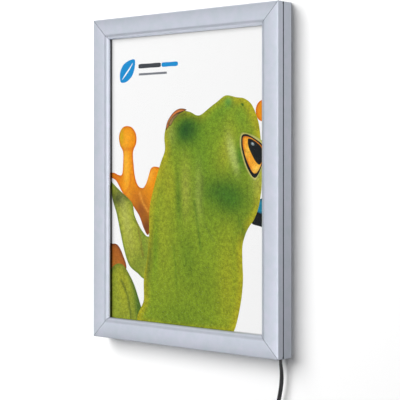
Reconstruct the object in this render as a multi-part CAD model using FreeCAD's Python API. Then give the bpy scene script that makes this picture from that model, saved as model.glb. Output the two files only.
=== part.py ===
"""Illuminated snap frame for the wall: a slim poster light box with four hinged aluminium covers.

Millimetres. The front faces -Y, +X is to the right and +Z is up. The origin is the centre of the
back, on the wall plane. Every side's section is drawn once, in (u, v): u runs inwards from the
outer face of that side and v runs back from the front face.
"""
import FreeCAD, Part
import math
import os

os.makedirs("parts", exist_ok=True)
V = FreeCAD.Vector

# Driving dimensions of the sheet and the frame.
POSTER_W = 297.0
POSTER_H = 420.0
SHEET_GAP = 0.2          # side clearance of every loose sheet in the frame
COVER_OVERLAP = 10.0     # poster edge hidden under each cover
FACE_W = 23.2            # flat face of a cover
LIP_W = 6.0              # sloping lip beside the face
LIP_DROP = 3.9
DEPTH = 28.0
WALL = 1.5               # extruded wall of covers and casing

# Hinge: a bead on the cover turns in a C-shaped socket of the casing.
COVER_SIDE_D = 9.4       # depth of a cover's side wall
BEAD_U = 1.0             # the axis, inwards from the outer face
BEAD_DROP = 1.0          # the axis, behind the end of the side wall
BEAD_R = 1.0
HINGE_CLEARANCE = 0.08
SOCKET_WALL = 0.82
NECK_T = 0.8
SOCKET_FROM = 34.0       # degrees, from straight ahead towards the inside
SOCKET_TO = 232.0
SOCKET_EDGE_U = 0.15
SHOULDER_GAP = 0.35      # between an opened cover and the casing behind it
MITRE_GAP = 0.5          # between two covers at a corner
BEAD_SHORT = 1.2         # the bead ends this far short of the neighbour's bead
PROFILE_GAP = 0.04       # between two casing profiles at a corner

# Light box stack, from the front.
SHEET_V = 8.4            # front of the clear sheet
CLEAR_T = 0.5
PRINT_SPACE = 0.3
POSTER_T = 0.25
DIFFUSER_T = 0.8
GUIDE_T = 6.0
REFLECTOR_T = 0.3
PANEL_T = 1.0
LEDGE_W = 8.0
FLANGE_W = 5.0
GROOVE_W = 3.0
GROOVE_H = 1.2

# LED strips.
BOARD_T = 1.0
BOARD_INSET = 0.2        # of a board's long edges, inside the light guide's faces
LED_SIZE = (3.0, 2.6, 1.0)    # along the board, across it, height
LED_PITCH = 16.0
LED_TO_GUIDE = 0.3

# Fixings and fittings.
HOOK_W = 2.0
HOOK_T = 1.0
BRACKET_T = 2.3
BRACKET_ARM = 55.0
BRACKET_CLEARANCE = 0.2
SCREW_R = 1.6
SCREW_HEAD_R = 3.6
SCREW_AT = (28.0, 46.0)       # along a bracket's arm, from the outer corner
SCREW_CLEARANCE = 0.05
RECESS_R = 1.3           # hexagon recess in a screw's head
RECESS_DEEP = 0.9
WALL_HOLE_R = 2.25
WALL_HOLE_FROM_END = 80.0
SPRING_T = 0.5
SPRING_LEN = 34.0
SPRINGS_SHORT = 2
SPRINGS_LONG = 3
SPRING_PITCH = 75.0

# Lead, its exit and its adapter.
LEAD_D = 5.4             # width of the flat twin lead
LEAD_T = 3.4             # its thickness, which is also the step between a coil's layers
LEAD_FROM_SIDE = 10.6
LEAD_V = 18.5
GLAND_HOLE_R = 3.5
GLAND_FLANGE_R = 4.3
GLAND_FLANGE_T = 0.6
GLAND_BORE_CLEARANCE = 0.05
RELIEF_LEN = 14.0        # tapered relief on the adapter
RELIEF_TOP_R = 4.0
RELIEF_END_R = 3.1
NUT_T = 3.0
NUT_SHORT = 0.4          # the nut ends this far below the bush's thread
LEAD_INSIDE = 6.5             # how far the lead reaches up into the casing
WIRE_R = 0.7
WIRE_SPACING = 1.6
WIRE_BEND = 3.0
WIRE_HOLE_R = 1.9
WIRE_HOLE_FROM_END = 62.0
BLOCK = (22.0, 6.0, 9.0)      # terminal block along, across and deep
BLOCK_FROM_SIDE = 38.0
BLOCK_U = 11.0
COIL_FROM_EXIT = (-35.1, -0.1, -114.0)       # centre of the coil, from the lead's exit
COIL_MEAN_R = 28.0
COIL_ROWS = 3
COIL_COLUMNS = 3
TURNS = 9.25
TIE_T = 1.0
TIE_W = 8.0
TIE_CLEARANCE = 0.4
ADAPTER = (30.0, 26.0, 62.0)
ADAPTER_FROM_COIL = (-28.6, -4.6, -109.0)
ADAPTER_WALL = 2.0
ADAPTER_EDGE = 3.0
PIN_FACE_T = 2.0
PIN_R = 2.0
PIN_ROOT_R = 2.4
PIN_LEN = 19.0
PIN_SPACING = 19.0
PIN_TIP_R = 0.9
CIRCUIT_T = 1.6          # circuit board, with a transformer core and a capacitor on it
CIRCUIT_GAP = 0.4        # board to plug face, and to the case's ends
CORE = (14.0, 16.0, 20.0)
CAPACITOR = (4.0, 14.0)  # radius, length
CAPACITOR_UP = 12.0

# Worked out from the above.
BORDER = FACE_W + LIP_W
OUTER_W = POSTER_W - 2 * COVER_OVERLAP + 2 * BORDER
OUTER_H = POSTER_H - 2 * COVER_OVERLAP + 2 * BORDER
POCKET_U = BORDER - COVER_OVERLAP - SHEET_GAP     # the inner wall's inner face
AXIS_V = COVER_SIDE_D + BEAD_DROP
SOCKET_R = BEAD_R + HINGE_CLEARANCE
SHOULDER_V = AXIS_V + BEAD_U + SHOULDER_GAP       # the opened side wall lies BEAD_U behind the axis
FLOOR_V = DEPTH - WALL
POSTER_V = SHEET_V + CLEAR_T + PRINT_SPACE
DIFFUSER_V = POSTER_V + POSTER_T
GUIDE_V = DIFFUSER_V + DIFFUSER_T
REFLECTOR_V = GUIDE_V + GUIDE_T
LEDGE_V = REFLECTOR_V + REFLECTOR_T
PANEL_V = FLOOR_V - PANEL_T
BRACKET_V = FLOOR_V - BRACKET_T
HOOK_V = BRACKET_V - BRACKET_CLEARANCE - HOOK_T
CHANNEL_U = POCKET_U / 2                          # middle of the casing's channel
WIRE_U = POCKET_U - WALL - WIRE_R - 0.6
BOARD_W = GUIDE_T - 2 * BOARD_INSET
BOARD_V = GUIDE_V + BOARD_INSET
SIDES = {
    "bottom": (OUTER_W, 0.0, V(0, 0, -OUTER_H / 2)),
    "right": (OUTER_H, -90.0, V(OUTER_W / 2, 0, 0)),
    "top": (OUTER_W, 180.0, V(0, 0, OUTER_H / 2)),
    "left": (OUTER_H, 90.0, V(-OUTER_W / 2, 0, 0)),
}


def place(shape, side):
    """Turn a shape drawn for the bottom side, with its outer face at z = 0, onto a side."""
    length, turn, to = SIDES[side]
    made = shape.copy()
    made.rotate(V(0, 0, 0), V(0, 1, 0), turn)
    made.translate(to)
    return made


def point(s, u, v):
    return V(s, v - DEPTH, u)


def save(name, shapes):
    """Write a node: one solid, or a group of separate solids."""
    solids = [solid for shape in shapes for solid in shape.Solids]
    whole = solids[0] if len(solids) == 1 else Part.makeCompound(solids)
    bad = [solid for solid in solids if not solid.isValid() or solid.Volume <= 0]
    if bad:
        print("not a valid solid in", name)
    whole.exportStep("parts/" + name + ".step")


def prism(points, length):
    """A (u, v) polygon drawn out along a side, centred on its middle."""
    corners = [point(-length / 2, u, v) for u, v in points]
    return Part.Face(Part.makePolygon(corners + corners[:1])).extrude(V(length, 0, 0))


def bar(u0, u1, v0, v1, length):
    return prism([(u0, v0), (u1, v0), (u1, v1), (u0, v1)], length)


def block(s, u, v):
    """A box from (low, high) pairs along s, u and v."""
    return Part.makeBox(s[1] - s[0], v[1] - v[0], u[1] - u[0], point(s[0], u[0], v[0]))


def mitred(shape, length, gap):
    """Cut both ends of a side at 45 degrees, half of the gap back from the corner's diagonal."""
    back = gap / math.sqrt(2)
    deep = BORDER + FLANGE_W + LEDGE_W
    out = 2.0
    ends = [(length / 2 + out - back, -out), (length / 2 - deep - back, deep)]
    outline = ends + [(-s, u) for s, u in reversed(ends)]
    corners = [point(s, u, -DEPTH) for s, u in outline]
    wedge = Part.Face(Part.makePolygon(corners + corners[:1])).extrude(V(0, 3 * DEPTH, 0))
    return shape.common(wedge).removeSplitter()


def round_bar(u, v, radius, length):
    return Part.makeCylinder(radius, length, point(-length / 2, u, v), V(1, 0, 0))


# Snap covers: face, lip, side wall with the hinge bead, cam rib for the springs and pressing foot.
EDGE_R = 0.6
GROOVE = 0.4             # fine groove between face and lip, wide and deep
LIP_T = 1.1
LIP_BULGE = 0.9          # the lip's front is rounded out by this much
RIB_T = 1.2
CAM_U = 7.0
CAM_V = 12.0
CAM_NOSE = 0.7
FOOT_GAP = 0.3           # foot to clear sheet
FOOT_T = 0.9
FOOT_W = 4.4


def cover(length):
    """Face, lip, side wall and neck as one outline with a rounded outer edge, then the ribs."""
    in_edge = EDGE_R * (1 - math.sqrt(0.5))
    neck = (BEAD_U - NECK_T / 2, BEAD_U + NECK_T / 2)
    path = [
        (EDGE_R, 0), (FACE_W - GROOVE, 0), (FACE_W - GROOVE, GROOVE), (FACE_W, GROOVE), (FACE_W, 0.05),
        (BORDER, LIP_DROP), (BORDER, LIP_DROP + LIP_T), (BORDER - LIP_T, LIP_DROP + LIP_T),
        (FACE_W - GROOVE, WALL), (WALL, WALL), (WALL, COVER_SIDE_D - 0.2), (neck[1], COVER_SIDE_D),
        (neck[1], AXIS_V), (neck[0], AXIS_V), (neck[0], COVER_SIDE_D), (0, COVER_SIDE_D), (0, EDGE_R),
    ]
    corners = [point(-length / 2, u, v) for u, v in path]
    edges = [Part.LineSegment(a, b).toShape() for a, b in zip(corners, corners[1:])]
    lip_from, lip_to = path[4:6]
    slope = math.hypot(lip_to[0] - lip_from[0], lip_to[1] - lip_from[1])
    crown = ((lip_from[0] + lip_to[0]) / 2 + LIP_BULGE * (lip_to[1] - lip_from[1]) / slope,
             (lip_from[1] + lip_to[1]) / 2 - LIP_BULGE * (lip_to[0] - lip_from[0]) / slope)
    edges[4] = Part.Arc(corners[4], point(-length / 2, *crown), corners[5]).toShape()
    edges.append(Part.Arc(corners[-1], point(-length / 2, in_edge, in_edge), corners[0]).toShape())
    made = Part.Face(Part.Wire(edges)).extrude(V(length, 0, 0))
    foot_v = SHEET_V - FOOT_GAP
    cam = [
        (CAM_U, WALL / 2), (CAM_U + RIB_T, WALL / 2), (CAM_U + RIB_T, CAM_V - 2 * CAM_NOSE),
        (CAM_U + RIB_T + CAM_NOSE, CAM_V - CAM_NOSE), (CAM_U + RIB_T, CAM_V), (CAM_U, CAM_V),
    ]
    foot_u = POCKET_U - RIB_T - SHEET_GAP
    made = made.fuse([
        round_bar(BEAD_U, AXIS_V, BEAD_R, length),
        prism(cam, length),
        bar(foot_u, foot_u + RIB_T, WALL / 2, foot_v, length),
        bar(foot_u, foot_u + FOOT_W, foot_v - FOOT_T, foot_v, length),
    ])
    made = mitred(made, length, MITRE_GAP)
    bead_end = length / 2 - BEAD_U - BEAD_R - BEAD_SHORT
    for low, high in ((bead_end, length), (-length, -bead_end)):
        made = made.cut(block((low, high), (-BEAD_R, CAM_U - GROOVE), (COVER_SIDE_D, DEPTH)))
    return made


for side, (length, turn, to) in SIDES.items():
    save("snap_cover_" + side, [place(cover(length), side)])


# Casing profiles: outer wall with the hinge socket, floor with the rear flange, inner wall with
# the ledge for the light guide, the back panel's groove and the hooks over the brackets.
def socket(length):
    """The C-shaped hinge socket, open to the front and outside."""
    outer = SOCKET_R + SOCKET_WALL
    ring = round_bar(BEAD_U, AXIS_V, outer, length).cut(round_bar(BEAD_U, AXIS_V, SOCKET_R, length))
    reach = 3 * outer
    steps = 8
    spread = SOCKET_TO - SOCKET_FROM
    angles = [math.radians(SOCKET_FROM + spread * i / steps) for i in range(steps + 1)]
    fan = [(BEAD_U, AXIS_V)]
    fan += [(BEAD_U + reach * math.sin(a), AXIS_V - reach * math.cos(a)) for a in angles]
    kept = ring.common(prism(fan, length))
    return kept.common(bar(SOCKET_EDGE_U, DEPTH, 0, DEPTH, length))


def countersink(s):
    """The hole for a countersunk bracket screw through the casing's floor."""
    big = SCREW_HEAD_R + SCREW_CLEARANCE
    small = SCREW_R + SCREW_CLEARANCE
    return Part.makeCone(small, big, WALL, point(s, CHANNEL_U, FLOOR_V), V(0, 1, 0))


def casing(side):
    length = SIDES[side][0]
    made = bar(0, WALL, SHOULDER_V, DEPTH, length)
    inner = POCKET_U - WALL
    made = made.fuse([
        bar(0, POCKET_U + FLANGE_W, FLOOR_V, DEPTH, length),
        bar(inner, POCKET_U, SHEET_V + 0.2, DEPTH, length),
        bar(inner, POCKET_U + LEDGE_W, LEDGE_V, LEDGE_V + WALL, length),
        bar(inner, POCKET_U + GROOVE_W, PANEL_V - 0.2 - GROOVE_H, PANEL_V - 0.2, length),
        bar(WALL / 2, WALL + HOOK_W, HOOK_V, HOOK_V + HOOK_T, length),
        bar(inner - HOOK_W, inner + WALL / 2, HOOK_V, HOOK_V + HOOK_T, length),
        socket(length),
    ])
    made = mitred(made, length, PROFILE_GAP)
    for end in (-1, 1):
        for along in SCREW_AT:
            made = made.cut(countersink(end * (length / 2 - along)))
    if side in ("left", "right"):
        for end in (-1, 1):
            at = point(end * (length / 2 - WALL_HOLE_FROM_END), CHANNEL_U, FLOOR_V)
            made = made.cut(Part.makeCylinder(WALL_HOLE_R, WALL, at, V(0, 1, 0)))
    if side in ("top", "bottom"):
        end = 1 if side == "bottom" else -1
        at = point(end * (length / 2 - WIRE_HOLE_FROM_END), inner, GUIDE_V + GUIDE_T / 2)
        made = made.cut(Part.makeCylinder(WIRE_HOLE_R, WALL, at, V(0, 0, 1)))
    if side == "bottom":
        at = point(length / 2 - LEAD_FROM_SIDE, 0, LEAD_V)
        made = made.cut(Part.makeCylinder(GLAND_HOLE_R, WALL, at, V(0, 0, 1)))
    return made


for side in SIDES:
    save("casing_" + side, [place(casing(side), side)])


# Corner brackets and their countersunk screws.
def bracket():
    """An L-shaped plate for the lower left corner, in the casing's channels."""
    near = WALL + BRACKET_CLEARANCE
    far = POCKET_U - WALL - BRACKET_CLEARANCE
    outline = [
        (near, near), (BRACKET_ARM, near), (BRACKET_ARM, far),
        (far, far), (far, BRACKET_ARM), (near, BRACKET_ARM),
    ]
    corners = [V(a, BRACKET_V - DEPTH, b) for a, b in outline]
    plate = Part.Face(Part.makePolygon(corners + corners[:1])).extrude(V(0, BRACKET_T, 0))
    for along in SCREW_AT:
        for a, b in ((along, CHANNEL_U), (CHANNEL_U, along)):
            at = V(a, BRACKET_V - DEPTH, b)
            hole = Part.makeCylinder(SCREW_R + SCREW_CLEARANCE, BRACKET_T, at, V(0, 1, 0))
            plate = plate.cut(hole)
    return plate


def screw(a, b):
    """Countersunk screw through the casing's floor into a bracket, with a hexagon recess."""
    shank = Part.makeCylinder(SCREW_R, FLOOR_V - BRACKET_V, V(a, BRACKET_V - DEPTH, b), V(0, 1, 0))
    head = Part.makeCone(SCREW_R, SCREW_HEAD_R, WALL, V(a, -WALL, b), V(0, 1, 0))
    recess = []
    for k in range(6):
        turn = k * math.pi / 3
        recess.append(V(a + RECESS_R * math.cos(turn), -RECESS_DEEP, b + RECESS_R * math.sin(turn)))
    hexagon = Part.Face(Part.makePolygon(recess + recess[:1])).extrude(V(0, 2 * RECESS_DEEP, 0))
    return shank.fuse(head).removeSplitter().cut(hexagon)


screws = []
for vertical, up in (("bottom", 1), ("top", -1)):
    for across, right in (("left", 1), ("right", -1)):
        plate = bracket()
        corner_screws = [screw(a, CHANNEL_U) for a in SCREW_AT] + [screw(CHANNEL_U, b) for b in SCREW_AT]
        moved = []
        for shape in [plate] + corner_screws:
            if right < 0:
                shape = shape.mirror(V(0, 0, 0), V(1, 0, 0))
            if up < 0:
                shape = shape.mirror(V(0, 0, 0), V(0, 0, 1))
            shape.translate(V(-right * OUTER_W / 2, 0, -up * OUTER_H / 2))
            moved.append(shape)
        save("corner_bracket_" + vertical + "_" + across, moved[:1])
        screws += moved[1:]
save("bracket_screws", screws)


# Leaf springs: bent strips snapped under the channel's hooks, with their noses at the cam ribs.
def strip(points, thickness, width):
    """A bent strip of constant thickness along a (u, v) line, drawn out along the side."""
    normals = []
    for (u0, v0), (u1, v1) in zip(points, points[1:]):
        long = math.hypot(u1 - u0, v1 - v0)
        normals.append(((v0 - v1) / long, (u1 - u0) / long))
    faces = [[], []]
    for i, (u, v) in enumerate(points):
        near = normals[max(i - 1, 0)]
        after = normals[min(i, len(normals) - 1)]
        mean = (near[0] + after[0], near[1] + after[1])
        fit = thickness / (mean[0] * near[0] + mean[1] * near[1])
        for k, sign in enumerate((0.5, -0.5)):
            faces[k].append((u + sign * fit * mean[0], v + sign * fit * mean[1]))
    return prism(faces[0] + faces[1][::-1], width)


def spring():
    inner = POCKET_U - WALL
    floor = FLOOR_V - SPRING_T / 2 - 0.02
    sweep = CAM_U + RIB_T + CAM_NOSE
    line = [
        (inner - 0.6, HOOK_V + HOOK_T + 0.6), (inner - 1.0, floor - 0.5), (inner - 1.8, floor),
        (WALL + 2.4, floor), (WALL + 1.4, floor - 0.45), (WALL + 1.2, floor - 1.1),
        (WALL + 3.1, HOOK_V + HOOK_T - 0.4), (WALL + 4.9, HOOK_V - 1.8), (inner - 4.6, CAM_V + 5.2),
        (inner - 4.0, CAM_V + 4.0), (sweep + 1.5, CAM_V + 1.2), (sweep + 1.2, CAM_V + 0.4),
        (sweep + 1.9, CAM_V - 0.6),
    ]
    return strip(line, SPRING_T, SPRING_LEN)


for side in SIDES:
    count = SPRINGS_LONG if side in ("left", "right") else SPRINGS_SHORT
    springs = []
    for i in range(count):
        one = spring()
        one.translate(V(SPRING_PITCH * (i - (count - 1) / 2), 0, 0))
        springs.append(place(one, side))
    save("leaf_springs_" + side, springs)


# Sheets of the light box.
def sheet(u_side, u_end, v, thickness):
    """A flat sheet, set in from the outer faces by u_side at the sides and u_end at top and bottom."""
    wide = OUTER_W - 2 * u_side
    high = OUTER_H - 2 * u_end
    return Part.makeBox(wide, thickness, high, V(-wide / 2, v - DEPTH, -high / 2))


SHEET_U = POCKET_U + SHEET_GAP
GUIDE_END_U = POCKET_U + BOARD_T + LED_SIZE[2] + LED_TO_GUIDE
save("clear_front_sheet", [sheet(SHEET_U, SHEET_U, SHEET_V, CLEAR_T)])
save("poster", [sheet(SHEET_U, SHEET_U, POSTER_V, POSTER_T)])
save("diffuser_sheet", [sheet(SHEET_U, SHEET_U, DIFFUSER_V, DIFFUSER_T)])
save("light_guide", [sheet(SHEET_U, GUIDE_END_U, GUIDE_V, GUIDE_T)])
save("reflector_sheet", [sheet(SHEET_U, GUIDE_END_U, REFLECTOR_V, REFLECTOR_T)])
save("back_panel", [sheet(SHEET_U, SHEET_U, PANEL_V, PANEL_T)])

# LED strips on the inner walls of the top and bottom profiles, facing the light guide's edges.
BOARD_L = OUTER_W - 2 * SHEET_U - 4.0
LED_COUNT = int((BOARD_L - LED_SIZE[0]) // LED_PITCH) + 1
for side in ("top", "bottom"):
    strip_board = block((-BOARD_L / 2, BOARD_L / 2), (POCKET_U, POCKET_U + BOARD_T),
                        (BOARD_V, BOARD_V + BOARD_W))
    save("led_board_" + side, [place(strip_board, side)])
    leds = []
    for i in range(LED_COUNT):
        s = LED_PITCH * (i - (LED_COUNT - 1) / 2)
        v = BOARD_V + BOARD_W / 2
        low = POCKET_U + BOARD_T
        package = block((s - LED_SIZE[0] / 2, s + LED_SIZE[0] / 2), (low, low + LED_SIZE[2]),
                        (v - LED_SIZE[1] / 2, v + LED_SIZE[1] / 2))
        leds.append(place(package, side))
    save("leds_" + side, leds)


# Tubes: straight runs joined by tangent arcs, each as large as its two runs allow.
def tube(name, points, radius, largest=1000.0):
    """Sweep a round section along a route and compare its volume with section times length."""
    middle = []
    here = points[0]
    radii = []
    for before, corner, after in zip(points, points[1:], points[2:]):
        back = before - corner
        ahead = after - corner
        run = min(back.Length, ahead.Length)
        back.normalize()
        ahead.normalize()
        half_turn = (math.pi - back.getAngle(ahead)) / 2
        cut = min(0.45 * run, largest * math.tan(half_turn))
        radii.append(cut / math.tan(half_turn))
        start = corner + back * cut
        end = corner + ahead * cut
        inwards = back + ahead
        inwards.normalize()
        bulge = radii[-1] / math.cos(half_turn) - radii[-1]
        middle.append(Part.LineSegment(here, start).toShape())
        middle.append(Part.Arc(start, corner + inwards * bulge, end).toShape())
        here = end
    middle.append(Part.LineSegment(here, points[-1]).toShape())
    spine = Part.Wire(middle)
    ring = Part.Wire(Part.makeCircle(radius, points[0], points[1] - points[0]))
    made = spine.makePipeShell([ring], True, False)
    expected = math.pi * radius ** 2 * spine.Length
    shown = ", ".join("%.0f" % r for r in radii)
    ratio = made.Volume / expected
    print("%s: length %.1f, radii %s, volume ratio %.4f" % (name, spine.Length, shown, ratio))
    return made, spine.Length


# Gland bush in the bottom wall, with a thin flange outside, and its nut inside.
lead_x = OUTER_W / 2 - LEAD_FROM_SIDE
lead_y = LEAD_V - DEPTH
base_z = -OUTER_H / 2
LEAD_R = LEAD_D / 2


def turned(profile, x, y):
    """A solid of revolution about a vertical line, from (radius, z) points."""
    corners = [V(x + r, y, z) for r, z in profile]
    return Part.Face(Part.makePolygon(corners + corners[:1])).revolve(V(x, y, 0), V(0, 0, 1), 360)


bore = LEAD_R + GLAND_BORE_CLEARANCE
waist = GLAND_HOLE_R - SCREW_CLEARANCE
gland = turned([
    (bore, base_z - GLAND_FLANGE_T), (GLAND_FLANGE_R - 0.3, base_z - GLAND_FLANGE_T),
    (GLAND_FLANGE_R, base_z - GLAND_FLANGE_T + 0.3), (GLAND_FLANGE_R, base_z),
    (waist, base_z), (waist, base_z + WALL + NUT_T), (bore, base_z + WALL + NUT_T),
], lead_x, lead_y)
nut_r = GLAND_FLANGE_R
nut_corners = []
for k in range(6):
    turn = k * math.pi / 3
    nut_corners.append(V(lead_x + nut_r * math.cos(turn), lead_y + nut_r * math.sin(turn), base_z + WALL))
nut = Part.Face(Part.makePolygon(nut_corners + nut_corners[:1])).extrude(V(0, 0, NUT_T - NUT_SHORT))
nut_bore = Part.makeCylinder(waist + SCREW_CLEARANCE, NUT_T, V(lead_x, lead_y, base_z + WALL), V(0, 0, 1))
save("gland_nut", [nut.cut(nut_bore)])

# Lead: down out of the gland, into a tied coil, and on to the adapter.
coil_x, coil_y, coil_z = (a + b for a, b in zip((lead_x, lead_y, base_z), COIL_FROM_EXIT))
adapter_x, adapter_y, adapter_z = (a + b for a, b in zip((coil_x, coil_y, coil_z), ADAPTER_FROM_COIL))
coil_out_r = COIL_MEAN_R + LEAD_T * (COIL_ROWS - 1) / 2
coil_back_y = coil_y + LEAD_D * (COIL_COLUMNS - 1) / 2
coil_front_y = coil_y - LEAD_D * (COIL_COLUMNS + 1) / 2     # the last turn lies on the front
UPPER_ROUTE = [
    (lead_x, lead_y, base_z + LEAD_INSIDE),
    (lead_x, lead_y, base_z - 5.5),
    (lead_x + 2.4, lead_y + 0.2, base_z - 18.0),
    (lead_x + 1.6, lead_y + 0.6, base_z - 33.0),
    (lead_x - 1.6, lead_y + 1.4, base_z - 47.0),
    (lead_x - 5.6, lead_y + 2.6, base_z - 60.5),
    (lead_x - 12.6, lead_y + 4.2, base_z - 74.0),
    (lead_x - 23.4, coil_back_y, base_z - 81.2),
    (coil_x, coil_back_y, coil_z + coil_out_r),
]
upper, upper_length = tube("lead_upper", [V(*p) for p in UPPER_ROUTE], LEAD_R)
save("lead_upper", [upper])
save("lead_gland", [gland.cut(upper)])
tail_x = coil_x - COIL_MEAN_R
TAIL_ROUTE = [
    (tail_x, coil_front_y, coil_z),
    (tail_x, coil_front_y, coil_z - 19.0),
    (tail_x - 0.4, coil_front_y + 2.2, coil_z - 38.5),
    (adapter_x, adapter_y, coil_z - 58.5),
    (adapter_x, adapter_y, adapter_z + ADAPTER[2] / 2),
]
tail, tail_length = tube("lead_tail", [V(*p) for p in TAIL_ROUTE], LEAD_R)
save("lead_tail", [tail])
ring_out = coil_out_r + LEAD_T / 2
ring_in = ring_out - LEAD_T * COIL_ROWS
ring_wide = LEAD_D * (COIL_COLUMNS + 1)
ring_front = coil_front_y - LEAD_R
nick = LEAD_T
ring_section = [
    (ring_in, ring_front + nick), (ring_in + nick, ring_front), (ring_out - nick, ring_front),
    (ring_out, ring_front + nick), (ring_out, ring_front + ring_wide), (ring_in, ring_front + ring_wide),
]
ring_corners = [V(coil_x + r, y, coil_z) for r, y in ring_section]
coil = Part.Face(Part.makePolygon(ring_corners + ring_corners[:1])).revolve(
    V(coil_x, 0, coil_z), V(0, 1, 0), 360)
save("lead_coil", [coil])
coil_length = 2 * math.pi * COIL_MEAN_R * TURNS
outside = upper_length - LEAD_INSIDE + coil_length + tail_length
print("lead outside the casing: %.0f" % outside)

# Tie round the coil's turns at the top.
tie_at = coil_x - TIE_W / 2
tie_low = math.sqrt(ring_in ** 2 - TIE_W ** 2) - TIE_CLEARANCE
tie_high = coil_out_r + LEAD_R + TIE_CLEARANCE
inner_box = Part.makeBox(TIE_W, ring_wide + 2 * TIE_CLEARANCE, tie_high - tie_low,
                         V(tie_at - TIE_W / 2, ring_front - TIE_CLEARANCE, coil_z + tie_low))
outer_box = Part.makeBox(TIE_W, ring_wide + 2 * (TIE_CLEARANCE + TIE_T), tie_high - tie_low + 2 * TIE_T,
                         V(tie_at - TIE_W / 2, ring_front - TIE_CLEARANCE - TIE_T, coil_z + tie_low - TIE_T))
save("coil_tie", [outer_box.cut(inner_box)])


# Plug-in adapter: case, plug face with two pins, and the circuit inside.
def cased(size, at, edge):
    """A box about a point with all its edges rounded."""
    made = Part.makeBox(*size, V(*[c - s / 2 for c, s in zip(at, size)]))
    return made.makeFillet(edge, made.Edges) if edge else made


ADAPTER_AT = (adapter_x, adapter_y, adapter_z)
ax, ay, az = ADAPTER_AT
sx, sy, sz = ADAPTER
open_x = ax - sx / 2 + PIN_FACE_T
hollow = tuple(s - 2 * ADAPTER_WALL for s in ADAPTER)
case = cased(ADAPTER, ADAPTER_AT, ADAPTER_EDGE).cut(cased(hollow, ADAPTER_AT, ADAPTER_EDGE - ADAPTER_WALL))
face_side = Part.makeBox(sx, sy + 2, sz + 2, V(open_x - sx, ay - sy / 2 - 1, az - sz / 2 - 1))
top_hole = Part.makeCylinder(bore, ADAPTER_WALL + 2, V(ax, ay, az + sz / 2 - ADAPTER_WALL), V(0, 0, 1))
plug_face = cased(ADAPTER, ADAPTER_AT, ADAPTER_EDGE).common(face_side)
pins = []
for sign in (-1, 1):
    pin_z = az + sign * PIN_SPACING / 2
    root_at = V(open_x + ADAPTER_WALL, ay, pin_z)
    root = Part.makeCylinder(PIN_ROOT_R, PIN_FACE_T + ADAPTER_WALL, root_at, V(-1, 0, 0))
    pin = Part.makeCylinder(PIN_R, PIN_LEN, V(open_x - PIN_FACE_T, ay, pin_z), V(-1, 0, 0))
    tip = min(pin.Edges, key=lambda edge: edge.BoundBox.XMax)
    pins.append(pin.makeFillet(PIN_TIP_R, [tip]).fuse(root))
    hole_at = V(open_x + 1, ay, pin_z)
    hole = Part.makeCylinder(PIN_ROOT_R + SCREW_CLEARANCE, PIN_FACE_T + 2, hole_at, V(-1, 0, 0))
    plug_face = plug_face.cut(hole)
save("adapter_case", [case.cut(face_side).cut(top_hole)])
save("adapter_plug_face", [plug_face])
save("adapter_pins", pins)
board_x = open_x + ADAPTER_WALL + CIRCUIT_GAP
circuit_wide = hollow[1] - 1.0
circuit = Part.makeBox(CIRCUIT_T, circuit_wide, hollow[2] - 4 * CIRCUIT_GAP,
                       V(board_x, ay - circuit_wide / 2, az - hollow[2] / 2 + CIRCUIT_GAP))
save("adapter_board", [circuit])
on_board = board_x + CIRCUIT_T
core = Part.makeBox(*CORE, V(on_board, ay - CORE[1] / 2, az - CORE[2]))
can = Part.makeCylinder(*CAPACITOR, V(on_board, ay, az + CAPACITOR_UP), V(1, 0, 0))
save("adapter_components", [core, can])
end_z = az + sz / 2
relief = turned([
    (bore, end_z + RELIEF_LEN), (RELIEF_END_R, end_z + RELIEF_LEN), (RELIEF_TOP_R, end_z),
    (bore, end_z),
], ax, ay).cut(tail)
save("adapter_relief", [relief])

# Terminal block on the lower right bracket, with the thin wires to both LED strips.
block_x = OUTER_W / 2 - BLOCK_FROM_SIDE
block_v = (BRACKET_V - BLOCK[2], BRACKET_V)
block_u = (BLOCK_U - BLOCK[1] / 2, BLOCK_U + BLOCK[1] / 2)
terminal = block((block_x - BLOCK[0] / 2, block_x + BLOCK[0] / 2), block_u, block_v)
terminal.translate(V(0, 0, base_z))
save("terminal_block", [terminal])
wire_v = GUIDE_V + GUIDE_T / 2
wires = {"supply_wires": [], "board_wires": [], "link_wires": []}
block_right = block_x + BLOCK[0] / 2
for sign in (-1, 1):
    shift = sign * WIRE_SPACING / 2
    block_y = block_v[0] + BLOCK[2] / 2 - DEPTH
    mid_y = wire_v + shift - DEPTH
    out_y = block_y + shift
    hole_x = OUTER_W / 2 - WIRE_HOLE_FROM_END
    right = OUTER_W / 2 - WIRE_U
    top = OUTER_H / 2
    block_left = block_x - BLOCK[0] / 2
    block_z = base_z + BLOCK_U
    low = base_z + WIRE_U
    high = top - WIRE_U
    routes = {
        "supply_wires": [
            (lead_x + shift, lead_y, base_z + LEAD_INSIDE), (lead_x + shift, lead_y, block_z + shift),
            (block_right + 4.0, out_y, block_z + shift), (block_right, out_y, block_z + shift),
        ],
        "board_wires": [
            (block_left, out_y, block_z), (block_left - 6.0, out_y, block_z),
            (hole_x, mid_y, block_z + 2.6), (hole_x, mid_y, base_z + POCKET_U),
        ],
        "link_wires": [
            (block_x + 2.0, out_y, base_z + block_u[1]), (block_x + 2.0, out_y, low - 0.6),
            (block_x + 12.0, mid_y, low - 0.6), (right + 1.2, mid_y, low - 1.2),
            (right, mid_y, low + 20.0), (right, mid_y, high - 20.0),
            (right + 1.2, mid_y, high + 1.2), (right - 20.0, mid_y, high),
            (hole_x, mid_y, high + 0.8), (hole_x, mid_y, top - POCKET_U),
        ],
    }
    for name, route in routes.items():
        made, length = tube(name, [V(*p) for p in route], WIRE_R, WIRE_BEND)
        wires[name].append(made)
for name, solids in wires.items():
    save(name, solids)
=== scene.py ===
"""Illuminated wall snap frame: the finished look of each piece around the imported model.

Metres. The front faces -Y, +X is to the right, +Z is up, and the wall plane is y = 0.
"""
import bpy
import math
import numpy as np
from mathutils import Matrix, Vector, geometry


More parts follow.
